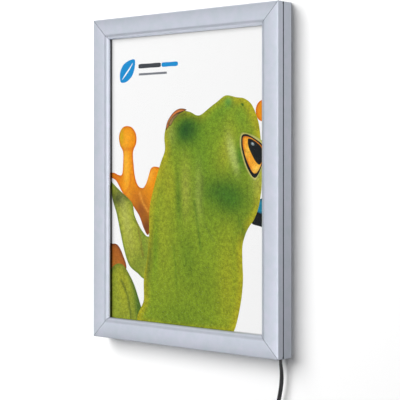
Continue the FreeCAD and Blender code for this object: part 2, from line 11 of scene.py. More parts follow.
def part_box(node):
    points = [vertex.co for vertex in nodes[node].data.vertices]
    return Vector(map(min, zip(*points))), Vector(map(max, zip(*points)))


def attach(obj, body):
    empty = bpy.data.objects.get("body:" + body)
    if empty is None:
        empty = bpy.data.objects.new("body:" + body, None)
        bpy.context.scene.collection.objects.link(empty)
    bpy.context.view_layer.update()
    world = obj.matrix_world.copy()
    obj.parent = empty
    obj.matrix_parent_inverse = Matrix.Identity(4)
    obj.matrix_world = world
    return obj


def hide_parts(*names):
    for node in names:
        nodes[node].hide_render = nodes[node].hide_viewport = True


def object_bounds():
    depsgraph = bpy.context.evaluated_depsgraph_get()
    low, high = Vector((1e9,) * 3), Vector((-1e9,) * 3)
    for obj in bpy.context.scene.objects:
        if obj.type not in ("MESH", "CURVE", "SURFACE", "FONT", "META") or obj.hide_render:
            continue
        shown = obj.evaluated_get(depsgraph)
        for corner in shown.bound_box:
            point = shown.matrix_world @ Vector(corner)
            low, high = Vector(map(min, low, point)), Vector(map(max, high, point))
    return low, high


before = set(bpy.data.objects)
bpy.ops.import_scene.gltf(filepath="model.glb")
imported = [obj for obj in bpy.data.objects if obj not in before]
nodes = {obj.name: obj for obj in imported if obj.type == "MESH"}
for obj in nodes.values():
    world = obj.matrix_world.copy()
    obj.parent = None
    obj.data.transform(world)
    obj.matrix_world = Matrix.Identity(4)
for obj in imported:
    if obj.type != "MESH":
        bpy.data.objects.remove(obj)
cad_low, cad_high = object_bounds()
bpy.ops.object.select_all(action="DESELECT")


# Camera: level, to the right of the frame and a little above its middle, with a long lens that is
# moved down on its sensor, so that the frame's uprights stay parallel.
camera = bpy.data.objects.new("camera", bpy.data.cameras.new("camera"))
bpy.context.scene.collection.objects.link(camera)
camera.location = (1.0992, -1.2646, 0.02067)
camera.rotation_euler = (math.pi / 2, 0, math.radians(40.68))
camera.data.lens = 109.19
camera.data.sensor_width = 36
camera.data.shift_y = -0.08975
bpy.context.scene.camera = camera


# Lead: a flat twin low-voltage lead, two cores side by side in one black PVC jacket. It hangs out
# of the gland, turns from edge-on to flat as it drops, and its spare length is wound up and tied.
LEAD_W = 0.0054
COIL = (0.122, -0.0096, -0.3432)
LAYER_R = (0.0314, 0.0280, 0.0246)
COLUMN_Y = (-0.0042, -0.0096, -0.0150)
FRONT_Y = -0.0204
TURNS = 9                       # whole turns, before the last quarter
STEP = 30                       # degrees from one control point of a turn to the next
CROSSING = 3.5                  # control points over which a turn moves on to the next place
CUT = 0.966                     # the spline's radius over that of its points
COIL_REACH = 0.0335             # what is nearer to the coil's middle than this is in a turn
route = [
    (0.1571, -0.0095, -0.2227), (0.1571, -0.0095, -0.2347), (0.1593, -0.0093, -0.2472),
    (0.1586, -0.0089, -0.2622), (0.1555, -0.0081, -0.2762), (0.1515, -0.0069, -0.2897),
    (0.1445, -0.0053, -0.3032), (0.1345, -0.0042, -0.3096),
]
slots = [(LAYER_R[0], y) for y in COLUMN_Y]
slots += [(LAYER_R[1], y) for y in reversed(COLUMN_Y)]
slots += [(LAYER_R[2], y) for y in COLUMN_Y]
slots += [(LAYER_R[1], FRONT_Y)]
per_turn = 360 // STEP
for k in range(TURNS * per_turn + per_turn // 4 + 1):
    turn, within = divmod(k, per_turn)
    ahead = slots[min(turn + 1, len(slots) - 1)]
    shift = max(0.0, within - per_turn + CROSSING) / CROSSING
    radius = slots[turn][0] + shift * (ahead[0] - slots[turn][0])
    across = slots[turn][1] + shift * (ahead[1] - slots[turn][1])
    angle = math.radians(90 + STEP * k)
    route.append((COIL[0] + radius / CUT * math.cos(angle), across,
                  COIL[2] + radius / CUT * math.sin(angle)))
route += [
    (0.0936, FRONT_Y, -0.3622), (0.0936, -0.0182, -0.3817), (0.0934, -0.0142, -0.4017),
    (0.0934, -0.0142, -0.4212),
]
lead_curve = bpy.data.curves.new("lead_line", "CURVE")
lead_curve.dimensions = "3D"
lead_curve.resolution_u = 8
spline = lead_curve.splines.new("NURBS")
spline.points.add(len(route) - 1)
for at, to in zip(spline.points, route):
    at.co = (*to, 1)
spline.order_u = 3
spline.use_endpoint_u = True
lead_line = bpy.data.objects.new("lead_line", lead_curve)
bare = bpy.data.meshes.new_from_object(lead_line)
line = np.array([v.co for v in bare.vertices])
bpy.data.objects.remove(lead_line)

# Which way the lead's flat side lies: its wide axis is turned about the vertical in the air, and
# lies across the winding in the coil.
ACROSS = 90.0
wide_turn = np.interp(-line[:, 2], (0.2292, 0.2600, 0.2900, 0.3090), (130.7, 42.0, 48.0, ACROSS))
wide_turn[np.arange(len(line)) > len(line) // 2] = ACROSS
in_coil = np.hypot(line[:, 0] - COIL[0], line[:, 2] - COIL[2]) < COIL_REACH
wide_turn[in_coil] = ACROSS
turned = np.radians(wide_turn)
wide = np.stack([np.cos(turned), np.sin(turned), np.zeros(len(line))], 1)
along = np.gradient(line, axis=0)
along /= np.linalg.norm(along, axis=1)[:, None]
wide -= (wide * along).sum(1)[:, None] * along
wide /= np.linalg.norm(wide, axis=1)[:, None]
thin = np.cross(along, wide)
# A quarter of the figure-eight section, in halves of its width, from a core's side to the web.
half = [(1.0, 0.0), (0.963, 0.21), (0.889, 0.357), (0.741, 0.509), (0.556, 0.602), (0.370, 0.630),
        (0.259, 0.600), (0.130, 0.540), (0.0, 0.515)]
quarter = [(w * LEAD_W / 2, t * LEAD_W / 2) for w, t in half]
section = quarter + [(-w, t) for w, t in quarter[-2::-1]]
section += [(-w, -t) for w, t in quarter[1:]] + [(w, -t) for w, t in quarter[-2:0:-1]]
section = np.array(section)
rings = (line[:, None, :] + section[None, :, 0, None] * wide[:, None, :]
         + section[None, :, 1, None] * thin[:, None, :])
count = len(section)
faces = [tuple(reversed(range(count)))]
for i in range(len(line) - 1):
    for j in range(count):
        after = (j + 1) % count
        faces.append((i * count + j, i * count + after,
                      (i + 1) * count + after, (i + 1) * count + j))
faces.append(tuple(range((len(line) - 1) * count, len(line) * count)))
lead_mesh = bpy.data.meshes.new("lead")
lead_mesh.from_pydata([tuple(p) for p in rings.reshape(-1, 3)], [], faces)
lead_mesh.validate()
lead = bpy.data.objects.new("lead", lead_mesh)
bpy.context.scene.collection.objects.link(lead)


def only(piece):
    """Leave one piece selected and active."""
    bpy.ops.object.select_all(action="DESELECT")
    piece.select_set(True)
    bpy.context.view_layer.objects.active = piece


only(lead)
bpy.ops.object.mode_set(mode="EDIT")
bpy.ops.mesh.select_all(action="SELECT")
bpy.ops.mesh.normals_make_consistent(inside=False)
bpy.ops.object.mode_set(mode="OBJECT")
bpy.ops.object.shade_smooth_by_angle(angle=math.radians(50))


def plastic(name, colour, roughness, grain, bump, spread=0.12, coat=0.0):
    """Moulded or extruded plastic: a fine surface grain and a slow change of tone and gloss."""
    material = bpy.data.materials.new(name)
    material.use_nodes = True
    new = material.node_tree.nodes.new
    link = material.node_tree.links.new
    shader = material.node_tree.nodes["Principled BSDF"]
    place = new("ShaderNodeTexCoord")
    slow = new("ShaderNodeTexNoise")
    slow.inputs["Scale"].default_value = 90
    slow.inputs["Detail"].default_value = 3
    link(place.outputs["Object"], slow.inputs["Vector"])
    tones = new("ShaderNodeValToRGB")
    tones.color_ramp.elements[0].position = 0.3
    tones.color_ramp.elements[0].color = (*[c * (1 - spread) for c in colour], 1)
    tones.color_ramp.elements[1].position = 0.7
    tones.color_ramp.elements[1].color = (*[min(1, c * (1 + spread)) for c in colour], 1)
    link(slow.outputs["Fac"], tones.inputs["Fac"])
    link(tones.outputs["Color"], shader.inputs["Base Color"])
    gloss = new("ShaderNodeMapRange")
    gloss.inputs["To Min"].default_value = roughness * 0.85
    gloss.inputs["To Max"].default_value = roughness * 1.15
    link(slow.outputs["Fac"], gloss.inputs["Value"])
    link(gloss.outputs["Result"], shader.inputs["Roughness"])
    fine = new("ShaderNodeTexNoise")
    fine.inputs["Scale"].default_value = grain
    fine.inputs["Detail"].default_value = 4
    link(place.outputs["Object"], fine.inputs["Vector"])
    relief = new("ShaderNodeBump")
    relief.inputs["Strength"].default_value = bump
    relief.inputs["Distance"].default_value = 0.0002
    link(fine.outputs["Fac"], relief.inputs["Height"])
    link(relief.outputs["Normal"], shader.inputs["Normal"])
    shader.inputs["Coat Weight"].default_value = coat
    return material


def dress(material, *names):
    """Give CAD nodes a finish."""
    for name in names:
        nodes[name].data.materials.clear()
        nodes[name].data.materials.append(material)


lead_pvc = plastic("lead_pvc", (0.012, 0.012, 0.014), 0.42, 1500, 0.12)
lead.data.materials.append(lead_pvc)
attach(lead, "casing")
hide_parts("lead_upper", "lead_coil", "lead_tail")

# Gland bush and its nut: black moulded nylon. The bush goes through the bottom profile from
# outside, and the nut is screwed on to it inside the casing.
dress(plastic("gland_nylon", (0.018, 0.018, 0.020), 0.5, 2500, 0.2), "lead_gland", "gland_nut")

# Tie: a moulded nylon loop with a fine ribbed face. It is closed round all the turns of the
# coil and keeps the spare lead together.
dress(plastic("tie_nylon", (0.022, 0.022, 0.024), 0.45, 3000, 0.3), "coil_tie")

# Adapter: black polycarbonate case with a fine spark texture, its relief moulded on the lead, two
# nickel-plated pins, and the circuit inside.
dress(plastic("adapter_case_black", (0.020, 0.020, 0.022), 0.48, 3800, 0.55),
      "adapter_case", "adapter_plug_face")
dress(plastic("relief_pvc", (0.014, 0.014, 0.016), 0.5, 2200, 0.25), "adapter_relief")
dress(plastic("circuit_green", (0.02, 0.10, 0.045), 0.35, 900, 0.2), "adapter_board")
dress(plastic("component_dark", (0.035, 0.033, 0.028), 0.45, 1500, 0.3), "adapter_components")


def metal(name, colour, roughness, stretch, grain, bump, tint=None):
    """Drawn or rolled metal: streaks along the piece, and a slow mottling of its tone."""
    material = bpy.data.materials.new(name)
    material.use_nodes = True
    new = material.node_tree.nodes.new
    link = material.node_tree.links.new
    shader = material.node_tree.nodes["Principled BSDF"]
    shader.inputs["Metallic"].default_value = 1.0
    place = new("ShaderNodeTexCoord")
    mottle = new("ShaderNodeTexNoise")
    mottle.inputs["Scale"].default_value = 85
    mottle.inputs["Detail"].default_value = 5
    mottle.inputs["Roughness"].default_value = 0.6
    link(place.outputs["Object"], mottle.inputs["Vector"])
    tones = new("ShaderNodeValToRGB")
    tones.color_ramp.elements[0].position = 0.35
    tones.color_ramp.elements[0].color = (*colour, 1)
    tones.color_ramp.elements[1].position = 0.65
    tones.color_ramp.elements[1].color = (*(tint or [c * 1.04 for c in colour]), 1)
    link(mottle.outputs["Fac"], tones.inputs["Fac"])
    drawn = new("ShaderNodeMapping")
    drawn.inputs["Scale"].default_value = stretch
    link(place.outputs["Object"], drawn.inputs["Vector"])
    streaks = new("ShaderNodeTexNoise")
    streaks.inputs["Scale"].default_value = grain
    streaks.inputs["Detail"].default_value = 3
    link(drawn.outputs["Vector"], streaks.inputs["Vector"])
    shade = new("ShaderNodeMix")
    shade.data_type = "RGBA"
    shade.blend_type = "MULTIPLY"
    shade.inputs["Factor"].default_value = 0.06
    link(tones.outputs["Color"], shade.inputs["A"])
    link(streaks.outputs["Color"], shade.inputs["B"])
    link(shade.outputs["Result"], shader.inputs["Base Color"])
    gloss = new("ShaderNodeMapRange")
    gloss.inputs["To Min"].default_value = roughness - 0.05
    gloss.inputs["To Max"].default_value = roughness + 0.05
    link(streaks.outputs["Fac"], gloss.inputs["Value"])
    link(gloss.outputs["Result"], shader.inputs["Roughness"])
    relief = new("ShaderNodeBump")
    relief.inputs["Strength"].default_value = bump
    relief.inputs["Distance"].default_value = 0.0001
    link(streaks.outputs["Fac"], relief.inputs["Height"])
    link(relief.outputs["Normal"], shader.inputs["Normal"])
    return material


dress(metal("pin_nickel", (0.72, 0.71, 0.67), 0.18, (1, 8, 8), 400, 0.1), "adapter_pins")


# Covers and casing: drawn aluminium profiles, mitred, satin anodised. The grain runs along each
# profile, so the level pieces and the uprights have a finish each.
SATIN = (0.590, 0.64, 0.712)
SATIN_LILAC = (0.64, 0.66, 0.755)
LEVEL = (0.02, 1, 1)
UPRIGHT = (1, 1, 0.02)
SEAM_SHADE = (0.012, 0.016, 0.028, 1)
SEAM_BACK = -0.01620            # the casing's shoulder, behind the hinge bead
SEAM_FRONT = -0.01800           # just inside the end of a cover's side wall
SEAM_DEEP = 0.0030              # how far in from the outer edge the painted shade goes


def paint_seam_shade(material, axis, from_middle):
    """Paint shade into the hinge's seam: the bead and its socket are coloured near black there, where
    the gap takes no light.
    """
    new = material.node_tree.nodes.new
    link = material.node_tree.links.new
    shader = material.node_tree.nodes["Principled BSDF"]
    place = new("ShaderNodeTexCoord")
    parts = new("ShaderNodeSeparateXYZ")
    link(place.outputs["Object"], parts.inputs["Vector"])
    outside = new("ShaderNodeMath")
    outside.operation = "ABSOLUTE"
    link(parts.outputs[axis], outside.inputs[0])
    tests = []
    for output, operation, limit in ((outside.outputs[0], "GREATER_THAN", from_middle),
                                     (parts.outputs["Y"], "GREATER_THAN", SEAM_FRONT),
                                     (parts.outputs["Y"], "LESS_THAN", SEAM_BACK)):
        test = new("ShaderNodeMath")
        test.operation = operation
        link(output, test.inputs[0])
        test.inputs[1].default_value = limit
        tests.append(test)
    both = new("ShaderNodeMath")
    both.operation = "MULTIPLY"
    link(tests[0].outputs[0], both.inputs[0])
    link(tests[1].outputs[0], both.inputs[1])
    all_three = new("ShaderNodeMath")
    all_three.operation = "MULTIPLY"
    link(both.outputs[0], all_three.inputs[0])
    link(tests[2].outputs[0], all_three.inputs[1])
    # Painted shade: inside the masked band the seam's colour is mixed to near black.
    seam_shaded = new("ShaderNodeMix")
    seam_shaded.data_type = "RGBA"
    seam_shaded.inputs["B"].default_value = SEAM_SHADE
    link(all_three.outputs[0], seam_shaded.inputs["Factor"])
    link(shader.inputs["Base Color"].links[0].from_socket, seam_shaded.inputs["A"])
    link(seam_shaded.outputs["Result"], shader.inputs["Base Color"])
    return material


def paint_profile_light(material, axis, reach, low, high):
    """Paint light and shade across a profile: a painted gradient over the face, a painted edge
    highlight, painted shade in the groove by the lip.

    low and high give tones by their distance in mm from the outer edge, for each of two sides.
    """
    new = material.node_tree.nodes.new
    link = material.node_tree.links.new
    shader = material.node_tree.nodes["Principled BSDF"]
    place = new("ShaderNodeTexCoord")
    parts = new("ShaderNodeSeparateXYZ")
    link(place.outputs["Object"], parts.inputs["Vector"])
    across = new("ShaderNodeMapRange")
    across.inputs["From Min"].default_value = -reach
    across.inputs["From Max"].default_value = reach
    link(parts.outputs[axis], across.inputs["Value"])
    # Painted light and shade: a ramp of tones across the profile, multiplied into its colour.
    painted_light = new("ShaderNodeValToRGB")
    stops = [(mm / 2000 / reach, tone) for mm, tone in low]
    stops += [(1 - mm / 2000 / reach, tone) for mm, tone in reversed(high)]
    painted_light.color_ramp.elements[0].position = stops[0][0]
    painted_light.color_ramp.elements[1].position = stops[-1][0]
    for position, _ in stops[1:-1]:
        painted_light.color_ramp.elements.new(position)
    for stop, (_, tone) in zip(painted_light.color_ramp.elements, stops):
        stop.color = (tone, tone, tone, 1)
    link(across.outputs["Result"], painted_light.inputs["Fac"])
    toned = new("ShaderNodeMix")
    toned.data_type = "RGBA"
    toned.blend_type = "MULTIPLY"
    toned.inputs["Factor"].default_value = 1
    link(shader.inputs["Base Color"].links[0].from_socket, toned.inputs["A"])
    link(painted_light.outputs["Color"], toned.inputs["B"])
    link(toned.outputs["Result"], shader.inputs["Base Color"])
    return material


outer_x = cad_high.x
outer_z = cad_high.z
COVER_BORDER = 0.0292           # from a cover's outer edge to the opening
# Painted shade: the casing is the covers' anodised finish made darker, because its sides face away from
# the light.
CASING_SHADED = [c * 0.86 for c in SATIN]
CASING_LILAC_SHADED = [c * 0.87 for c in SATIN_LILAC]
# Painted light and shade, in mm from each cover's outer edge: a lighter and darker gradient over the
# face, a painted highlight on the right upright's outer edge, painted shade in the groove by the lip
# and a painted dark line along the bottom's outer edge.
PAINTED_LOW_Z = ((0.2, 0.50), (0.9, 0.69), (4, 0.72), (9, 0.79), (14, 0.84), (20, 0.88), (22.8, 0.92),
         (23.5, 0.67), (25.1, 0.70), (26, 0.86), (29, 0.86))
PAINTED_HIGH_Z = ((0.3, 0.92), (1, 0.72), (3, 0.75), (12, 0.85), (22.8, 0.88), (23.5, 0.60), (25.1, 0.64),
          (26, 0.82), (28.5, 0.92))
PAINTED_LOW_X = ((0.2, 0.87), (1, 0.80), (5, 0.84), (12, 0.87), (20, 0.92), (22.8, 0.97), (23.5, 0.68),
         (24.6, 0.74), (25.6, 0.90), (29, 0.87))
PAINTED_HIGH_X = ((0.2, 0.87), (0.4, 1.30), (1.3, 1.12), (1.9, 1), (8, 0.93), (14, 0.88), (22.8, 0.84),
          (23.5, 0.70), (25.1, 0.74), (26, 0.85), (29, 0.85))
# Each cover's colour carries painted light and shade across it, and covers and casing both carry
# painted shade in the hinge seam.
for side, axis, grain, reach, tones in (
        ("top", "Z", LEVEL, outer_z, (PAINTED_LOW_Z, PAINTED_HIGH_Z)), ("bottom", "Z", LEVEL, outer_z, (PAINTED_LOW_Z, PAINTED_HIGH_Z)),
        ("left", "X", UPRIGHT, outer_x, (PAINTED_LOW_X, PAINTED_HIGH_X)),
        ("right", "X", UPRIGHT, outer_x, (PAINTED_LOW_X, PAINTED_HIGH_X))):
    cover_finish = metal("anodised_cover_painted_light_" + side, SATIN, 0.42, grain, 1600, 0.12, SATIN_LILAC)
    dress(paint_seam_shade(paint_profile_light(cover_finish, axis, reach, *tones), axis, reach - SEAM_DEEP),
          "snap_cover_" + side)
    casing_finish = metal("anodised_casing_shaded_" + side, CASING_SHADED, 0.42, grain, 1600, 0.12,
                          CASING_LILAC_SHADED)
    dress(paint_seam_shade(casing_finish, axis, reach - SEAM_DEEP), "casing_" + side)

# Corner brackets, screws and leaf springs inside the casing: zinc-plated plate and screws, and
# blued spring strip.
dress(metal("zinc_plate", (0.52, 0.53, 0.55), 0.35, (1, 1, 1), 500, 0.3, (0.60, 0.60, 0.58)),
      "corner_bracket_bottom_left", "corner_bracket_bottom_right",
      "corner_bracket_top_left", "corner_bracket_top_right")
dress(metal("zinc_screw", (0.46, 0.47, 0.48), 0.3, (1, 1, 1), 900, 0.3), "bracket_screws")
spring_strip = metal("blued_strip", (0.20, 0.22, 0.26), 0.3, (1, 1, 1), 700, 0.2, (0.26, 0.27, 0.30))
dress(spring_strip, "leaf_springs_top", "leaf_springs_bottom", "leaf_springs_left",
      "leaf_springs_right")

# LED boards, LED packages, terminal block and wires: white solder-masked boards with yellow
# phosphor packages on them, a moulded white block and red PVC-covered wires.
dress(plastic("board_white", (0.80, 0.80, 0.77), 0.4, 800, 0.15, 0.04), "led_board_top",
      "led_board_bottom")
dress(plastic("led_yellow", (0.88, 0.74, 0.22), 0.3, 800, 0.1, 0.05), "leds_top", "leds_bottom")
dress(plastic("terminal_white", (0.70, 0.70, 0.66), 0.45, 1800, 0.25, 0.05), "terminal_block")
dress(plastic("wire_red", (0.50, 0.02, 0.015), 0.4, 1200, 0.1), "supply_wires", "board_wires",
      "link_wires")

# Sheets of the light box, from the back: textured back panel, white reflector film, clear acrylic
# guide and opal diffuser.
dress(plastic("back_panel_grey", (0.36, 0.37, 0.38), 0.6, 1400, 0.5, 0.06), "back_panel")
dress(plastic("reflector_film", (0.88, 0.88, 0.88), 0.35, 600, 0.05, 0.02), "reflector_sheet")
dress(plastic("guide_acrylic", (0.80, 0.86, 0.87), 0.08, 300, 0.02, 0.03), "light_guide")
dress(plastic("opal_sheet", (0.86, 0.86, 0.86), 0.5, 900, 0.1, 0.02), "diffuser_sheet")

# Clear front sheet: thin plastic with a faint anti-glare finish, cut to the poster's size and
# held with it under the covers' lips.
clear = plastic("anti_glare_clear", (0.35, 0.37, 0.38), 0.22, 2200, 0.08, 0.02)
clear.node_tree.nodes["Principled BSDF"].inputs["Alpha"].default_value = 0.01
dress(clear, "clear_front_sheet")

# Poster: a backlit film with a tree frog seen from behind, climbing in from the lower left, and a
# plain leaf mark with three bars. The print's edges are cut into the sheet's front, so they stay
# sharp, and each region is toned from its edge inwards.
def closed_curve(points, steps):
    """A smooth closed line through points."""
    p = np.array(points, float)
    out = []
    for i in range(len(p)):
        a, b, c, d = (p[(i + k - 1) % len(p)] for k in range(4))
        for t in np.linspace(0, 1, steps, endpoint=False):
            out.append(0.5 * (2 * b + (c - a) * t + (2 * a - 5 * b + 4 * c - d) * t ** 2
                              + (3 * b - a - 3 * c + d) * t ** 3))
    out = np.array(out)
    ahead = np.roll(out, -1, axis=0)
    area = (out[:, 0] * ahead[:, 1] - out[:, 1] * ahead[:, 0]).sum()
    return out if area > 0 else out[::-1]


def ellipse(x, z, across, up, turn=0.0):
    """Twelve points of an ellipse."""
    turn = math.radians(turn)
    points = []
    for k in range(12):
        a, b = across * math.cos(k * math.pi / 6), up * math.sin(k * math.pi / 6)
        points.append((x + a * math.cos(turn) - b * math.sin(turn),
                       z + a * math.sin(turn) + b * math.cos(turn)))
    return points


def band(x0, x1, z, height):
    """A bar with round ends."""
    r = height / 2
    return [(x0, z - r), ((x0 + x1) / 2, z - r), (x1, z - r), (x1 + r * 0.8, z), (x1, z + r),
            ((x0 + x1) / 2, z + r), (x0, z + r), (x0 - r * 0.8, z)]


def ink(red, green, blue):
    """A printed colour, from its screen values."""
    return tuple(((c / 255 + 0.055) / 1.055) ** 2.4 if c > 10 else c / 255 / 12.92
                 for c in (red, green, blue))


SKIN = ink(124, 147, 30)
SKIN_EDGE = ink(166, 160, 26)
SKIN_DARK = ink(66, 106, 20)
SKIN_DEEP = ink(12, 76, 20)
SKIN_LIGHT = ink(182, 194, 104)
ORANGE = ink(234, 144, 4)
ORANGE_DEEP = ink(206, 100, 4)
RUST = ink(140, 74, 26)
BLACK = ink(12, 16, 18)
MARK_BLUE = ink(20, 140, 206)
MARK_GREY = ink(62, 66, 72)
# Regions from the back to the front: outline (mm across and up the sheet from its middle), tone
# inside, tone at the edge, how far the edge's tone reaches in, and how much grain it has.
regions = [
    (ellipse(136, 90, 12, 14), ORANGE, ORANGE_DEEP, 5, 0.3),
    ([(120, -24), (130, -25), (146, -22), (146, -46), (134, -44), (120, -40)],
     ink(24, 124, 152), ink(14, 70, 96), 4, 0.6),
    ([(118, -41), (134, -44), (146, -46), (146, -62), (130, -60), (117, -56)], BLACK, BLACK, 3, 0.2),
    ([(-146, -98), (-137, -94), (-127, -96), (-118, -108), (-110, -128), (-124, -138),
      (-146, -138)], ink(166, 92, 26), ink(120, 60, 22), 7, 0.6),
    ([(-109, 75), (-98, 72), (-91, 62), (-91, 50), (-97, 38), (-96, 20), (-93, 2), (-87, -10),
      (-78, -13), (-72, -7), (-67, 4), (-62, 15), (-52, 17), (-42, 12), (-40, -10), (-52, -40),
      (-62, -66), (-68, -79), (-76, -70), (-84, -54), (-94, -42), (-106, -30), (-118, -20),
      (-130, -4), (-140, 1), (-146, 3), (-144, 8), (-134, 8), (-126, 5), (-119, 6), (-117, 20),
      (-117, 38), (-123, 48), (-125, 61), (-119, 72)], ORANGE, ORANGE_DEEP, 5, 0.35),
    ([(-143, -4), (-136, -8), (-122, -18), (-108, -27), (-98, -36), (-94, -52), (-84, -68),
      (-72, -80), (-62, -84), (-60, -110), (-66, -136), (-76, -141), (-88, -134), (-104, -124),
      (-114, -104), (-122, -78), (-130, -50), (-138, -30)], ink(158, 164, 52), ink(116, 132, 40),
     6, 0.9),
    ([(-146, -140), (-137, -127), (-126, -122), (-115, -125), (-104, -137), (-94, -152),
      (-85, -172), (-78, -190), (-74, -206), (-146, -206), (-147, -172)], ink(138, 151, 42),
     ink(84, 104, 36), 8, 0.9),
    ([(-78, -207), (-76, -170), (-76, -140), (-70, -112), (-66, -80), (-65, -42), (-56, -10),
      (-44, 22), (-36, 40), (-37, 58), (-33, 74), (-22, 88), (-6, 94), (10, 92), (22, 87),
      (31, 88), (46, 97), (60, 105), (70, 111), (78, 112), (92, 109), (105, 107), (117, 99),
      (125, 85), (130, 70), (133, 46), (134, 20), (134, -6), (132, -22), (128, -38), (121, -52),
      (112, -63), (106, -74), (102, -88), (102, -108), (103, -130), (101, -152), (97, -172),
      (92, -190), (87, -201), (80, -207)], SKIN, SKIN_EDGE, 16, 1.0),
    ([(-34, 68), (-31, 80), (-20, 92), (-8, 97), (4, 95), (-6, 91), (-18, 84), (-27, 74)],
     ink(206, 120, 60), ink(92, 60, 30), 2.5, 0.3),
    ([(-30, 76), (-22, 86), (-11, 92), (-1, 93), (-10, 89), (-19, 82), (-25, 74)],
     ink(150, 118, 70), ink(40, 40, 20), 1.5, 0.3),
    ([(99, 61), (97, 46), (102, 28), (108, 14), (117, 2), (124, -1), (130, 6), (138, 24),
      (142, 40), (136, 50), (122, 58), (108, 62)], ink(196, 190, 110), ink(120, 140, 40), 1.6, 0.2),
    ([(101, 58), (100, 45), (104, 30), (110, 16), (118, 5), (124, 3), (130, 10), (137, 26),
      (140, 38), (134, 47), (121, 55), (109, 60)], BLACK, BLACK, 2, 0.1),
    ([(103, 56), (102.5, 46), (106, 33), (112, 20), (119, 10), (125, 9), (131, 16), (136, 27),
      (138, 37), (133, 45), (121, 53), (110, 57)], ink(236, 160, 40), ink(196, 104, 22), 3, 0.7),
    ([(111, 53), (112, 44), (117, 34), (124, 24), (130, 20), (135, 25), (136, 36), (132, 44),
      (122, 51), (115, 54)], BLACK, ink(30, 34, 20), 1.5, 0.1),
    (ellipse(119, 47, 3.4, 2.0, -30), ink(190, 205, 210), ink(90, 100, 100), 1.4, 0.0),
    (ellipse(102, 99, 2.6, 1.5, -35), ink(44, 62, 30), SKIN_DARK, 1.2, 0.4),
    ([(-122, 139), (-123, 151), (-117, 162), (-106, 168), (-94, 169), (-94, 157), (-99, 146),
      (-108, 139), (-116, 137)], MARK_BLUE, MARK_BLUE, 1, 0.0),
    ([(-119, 141), (-112, 147), (-104, 155), (-97, 165), (-106, 156), (-113, 149)],
     ink(244, 247, 250), ink(244, 247, 250), 1, 0.0),
    (band(-84, -46, 159, 6), MARK_GREY, MARK_GREY, 1, 0.0),
    (band(-40, -14, 159, 6), MARK_BLUE, MARK_BLUE, 1, 0.0),
    (band(-84, -34, 147.5, 3), ink(120, 124, 130), ink(120, 124, 130), 1, 0.0),
]
# Places in that list of the regions that carry more tones.
FLANK = 3
HAND = 4
ARM = 5
THIGH = 6
BODY = 7
IRIS = 12
